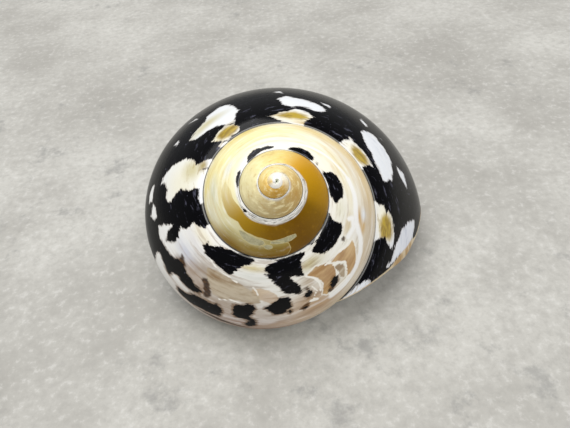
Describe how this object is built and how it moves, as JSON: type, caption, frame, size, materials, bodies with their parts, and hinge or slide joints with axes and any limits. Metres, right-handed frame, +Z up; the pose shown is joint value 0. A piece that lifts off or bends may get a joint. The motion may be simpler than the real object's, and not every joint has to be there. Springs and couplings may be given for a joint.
{
  "type": "top shell",
  "caption": "Polished top shell with a low coiled spire, round pearly mouth and open navel, lying on its base with the spire tipped forward.",
  "frame": {"origin": "centre of the bounding box at the level of the surface that the shell lies on", "axes": "+Z up, -Y towards the side that the spire leans to, which is the side the picture is taken from, +X towards the lip"},
  "size_m": [0.0726, 0.0652, 0.0439],
  "materials": {
    "polished_shell": "high gloss, black and white with pearl"
  },
  "bodies": {
    "root": {"top_shell": "polished_shell"}
  },
  "joints": []
}
